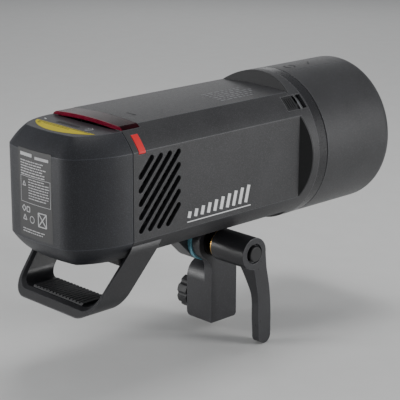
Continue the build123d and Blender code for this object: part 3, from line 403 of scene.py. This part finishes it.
margin = -0.0165
row_pitch = 0.0021
foot_pitch = 0.0020
row_half, small_row_half = 0.00042, 0.00036
rule_half = 0.00016
stroke, fine_stroke = 0.0004, 0.0003
rows = [level_bar(margin, -0.002, 0.0318, 0.0013), level_bar(0.0015, -margin, 0.0308, 0.0011)]
rows += text_rows(margin, 0.0268, 0.034, row_pitch, 6, row_half)
rows += text_rows(-0.007, 0.0130, 0.024, row_pitch, 8, small_row_half)
rows += text_rows(-0.0155, -0.0265, 0.030, foot_pitch, 2, small_row_half)
rows += frame_lines(-0.0168, -0.0055, 0.0178, 0.0148, rule_half)
rows += ring(-0.0125, 0.0085, 0.0022, fine_stroke, 3, 90)

badge_u = -0.0125
high_row, low_row = -0.0105, -0.0180
rows += ring(-0.0135, high_row, 0.0024, stroke, 4)
rows += frame_lines(-0.0098, -0.0125, -0.0062, -0.0088, stroke)
rows += ring(badge_u, low_row, 0.0026, stroke, 3, 90)
rows += ring(-0.0035, low_row, 0.0026, fine_stroke, 14)
cross_left, cross_right = 0.0040, 0.0130
cross_low, cross_high = -0.0215, -0.0110
rows += frame_lines(cross_left, cross_low, cross_right, cross_high, stroke)
rows += [(cross_left, cross_low, cross_right, cross_high, stroke),
         (cross_left, cross_high, cross_right, cross_low, stroke)]
rows = [(u0 + label_shift, v0, u1 + label_shift, v1, half) for u0, v0, u1, v1, half in rows]
patches("Rear_Label_Print", on_tail, rows, print_light, "battery", lift=label_print_proud, steps=3)

# Yellow caution strip: near-straight front edge, rear edge parallel to the battery's rounded tail
strip_left, strip_right = -0.0340, 0.0355
strip_bend = 0.0506
strip_deepest = 0.0346  # rear edge on the middle, behind the seam
strip_front_middle = 0.0198
strip_slant = 0.01
strip_corner = 0.004
strip_round = 0.0025  # how much the left corner is drawn in
strip_least = 0.0002
strip_steps = 40


def strip_front(u):
    return strip_front_middle + strip_slant * u


def strip_rear(u):
    arc = strip_deepest - strip_bend + math.sqrt(strip_bend**2 - u**2)
    corner = min(1.0, (u - strip_left) / strip_corner)
    round_off = strip_round * (1 - math.sqrt(1 - (1 - corner) ** 2))
    return max(arc - round_off, strip_front(u) + strip_least)


strip_vertices, strip_faces = [], []
for step in range(strip_steps + 1):
    u = strip_left + (strip_right - strip_left) * step / strip_steps
    strip_vertices.append(on_battery_top(u, strip_front(u), strip_proud))
    strip_vertices.append(on_battery_top(u, strip_rear(u), strip_proud))
for step in range(strip_steps):
    a = 2 * step
    strip_faces.append((a, a + 1, a + 3, a + 2))
solid_sheet("Battery_Caution_Strip", strip_vertices, strip_faces, label_yellow, "battery")
caution_half = 0.030
caution = [level_bar(-caution_half, caution_half, strip_front_middle + 0.0016, 0.00035)]
caution += text_rows(-0.021, strip_front_middle + 0.0040, 0.042, foot_pitch, 1, 0.0003)
caution += ring(-0.0255, strip_front_middle + 0.0050, 0.0014, 0.00025, 3, 90)
patches("Battery_Caution_Print", on_battery_top, caution, print_dark, "battery",
        lift=strip_print_proud, steps=1)

mark_half = 0.0005
small_marks = [(-0.0335, 0.0132, -0.0300, 0.0142, mark_half)]
small_marks += [(0.0165, 0.0110, 0.0185, 0.0112, mark_half)]
small_marks += [(0.0195, 0.0096, 0.0215, 0.0112, mark_half)]
patches("Battery_Top_Marks", on_battery_top, small_marks, print_white, "battery", steps=1)

# Faint block of small print on the head's top, and a pair of dark ticks near the lens
block_right, block_rear = 0.0275, 0.066
faint = text_rows(0.0, 0.0, 0.052, 0.0046, 6, 0.0009, gap=0.0016, word=(0.002, 0.006))
turned = [(block_right + v0, block_rear - u0, block_right + v1, block_rear - u1, half)
          for u0, v0, u1, v1, half in faint]
patches("Top_Small_Print", on_housing_top, turned, print_faint, "head", steps=2)
tick_half = 0.0006
ticks = [(0.0110, 0.1515, 0.0155, 0.1512, tick_half), (0.0170, 0.1512, 0.0205, 0.1508, tick_half)]
patches("Top_Ticks", on_housing_top, ticks, print_dark, "head", steps=2)

# Power scale on the side: plain slanted bars of growing height over a rule
scale_rear, scale_pitch = 0.1262, 0.0070
scale_foot, scale_rule = -0.0268, -0.0300
shortest_bar, bar_growth = 0.0050, 0.0010
bar_lean = 0.25
bars = []
for bar in range(10):
    u = scale_rear - scale_pitch * bar
    height = shortest_bar + bar_growth * bar
    bars.append((u, scale_foot, u - bar_lean * height, scale_foot + height, 0.0017))
bars.append(level_bar(0.1280, 0.0575, scale_rule, 0.0004))
patches("Side_Power_Scale", on_side, bars, print_white, "head", steps=1)

# Alignment marks on the cap's top: a broken ring and a slanted tick
cap_stroke = 0.0007
cap_ring = 0.0036
marks = ring(0.0135, 0.0, cap_ring, cap_stroke, 8, 100, 160)
marks += ring(0.0165, 0.0, cap_ring, cap_stroke, 8, -80, 160)
marks += [(0.036, -0.0030, 0.042, 0.0036, cap_stroke)]
patches("Cap_Marks", on_cap, marks, print_dark, "cap", steps=2)

# Dial pointer and display segments on the far side
window_low, window_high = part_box("display_window")
dial_low, dial_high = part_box("control_dial")


def on_window(u, v, lift):
    """Display: u from its front edge towards the rear, v up from its lower edge."""
    return Vector((window_high.x + lift, window_low.y + u, window_low.z + v))


def on_dial(u, v, lift):
    """Face of the dial: u towards the rear and v up from its middle."""
    middle = (dial_low + dial_high) / 2
    return Vector((dial_high.x + lift, middle.y + u, middle.z + v))


def digit(u, v, size, lit):
    """Lit segments of a seven-segment figure, each named by the usual letter from a to f."""
    segments = {"a": (0, 2, 1, 2), "b": (1, 2, 1, 1), "c": (1, 1, 1, 0), "d": (0, 0, 1, 0),
                "e": (0, 1, 0, 0), "f": (0, 2, 0, 1)}
    strips = []
    for name in lit:
        u0, v0, u1, v1 = segments[name]
        strips.append((u + size * u0, v + size * v0, u + size * u1, v + size * v1, 0.0004))
    return strips


digit_low, digit_size = 0.012, 0.006
display = digit(0.022, digit_low, digit_size, "bc") + digit(0.032, digit_low, digit_size, "abcdef")
display += frame_lines(0.003, 0.003, 0.0508, 0.0298, 0.0002)
display += [level_bar(0.005, 0.016, 0.026, 0.0006), level_bar(0.040, 0.049, 0.026, 0.0006)]
for bar in range(6):
    u = 0.005 + 0.0025 * bar
    display.append((u, 0.005, u, 0.0062 + 0.0006 * bar, 0.0007))
patches("Display_Segments", on_window, display, print_light, "head", steps=1)
patches("Dial_Pointer", on_dial, [(0, 0.0112, 0, 0.0132, 0.0005)], print_white, "dial", steps=1)

# ---- Studio -------------------------------------------------------------------------------------
low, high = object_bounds()
floor_gap = 0.0006  # floor below the lever's tip
floor_size = 14
floor_material = coating("Pale_Floor", (0.72, 0.72, 0.71), (0.55, 0.7), grain=0.02, slow=0.015,
                         grain_scale=60)
bpy.ops.mesh.primitive_plane_add(size=floor_size, location=(0, 0, low.z - floor_gap))
floor = bpy.context.object
floor.name = "Floor"
floor.data.materials.append(floor_material)

world = bpy.data.worlds.new("Studio")
bpy.context.scene.world = world
world.use_nodes = True
world.node_tree.nodes["Background"].inputs["Color"].default_value = (0.90, 0.92, 0.95, 1)
world.node_tree.nodes["Background"].inputs["Strength"].default_value = 0.30


def softbox(name, place, aim, size, power):
    """Rectangular area light; size in metres, power in watts."""
    light = bpy.data.lights.new(name, "AREA")
    light.shape = "RECTANGLE"
    light.size, light.size_y = size
    light.energy = power
    item = bpy.data.objects.new(name, light)
    item.location = place
    item.rotation_euler = (Vector(aim) - Vector(place)).to_track_quat("-Z", "Y").to_euler()
    bpy.context.collection.objects.link(item)


centre = (low + high) / 2
softbox("Left_Light", (-1.30, -0.75, 0.50), centre, (0.5, 1.0), 15)
softbox("Front_Light", (1.25, -1.35, 0.62), centre, (1.1, 0.6), 1.6)
softbox("Rear_Light", (0.95, 1.35, 0.36), centre, (0.6, 0.7), 16)
softbox("Top_Light", (0.15, -0.20, 1.60), centre, (0.6, 0.5), 8)

# ---- Camera -------------------------------------------------------------------------------------
yaw, pitch, roll = 0.8012, 0.284, 0.0041  # radians; yaw turns from -Y towards +X, pitch looks down
camera_data = bpy.data.cameras.new("Camera")
camera_data.sensor_width = 36
camera_data.lens = 129.3
camera = bpy.data.objects.new("Camera", camera_data)
camera.location = (-0.8259, 0.8144, 0.4410)
ahead = Vector((math.sin(yaw) * math.cos(pitch), -math.cos(yaw) * math.cos(pitch), -math.sin(pitch)))
camera.rotation_mode = "QUATERNION"
tilt = Matrix.Rotation(roll, 3, "Z").to_quaternion()
camera.rotation_quaternion = ahead.to_track_quat("-Z", "Y") @ tilt
bpy.context.collection.objects.link(camera)
bpy.context.scene.camera = camera
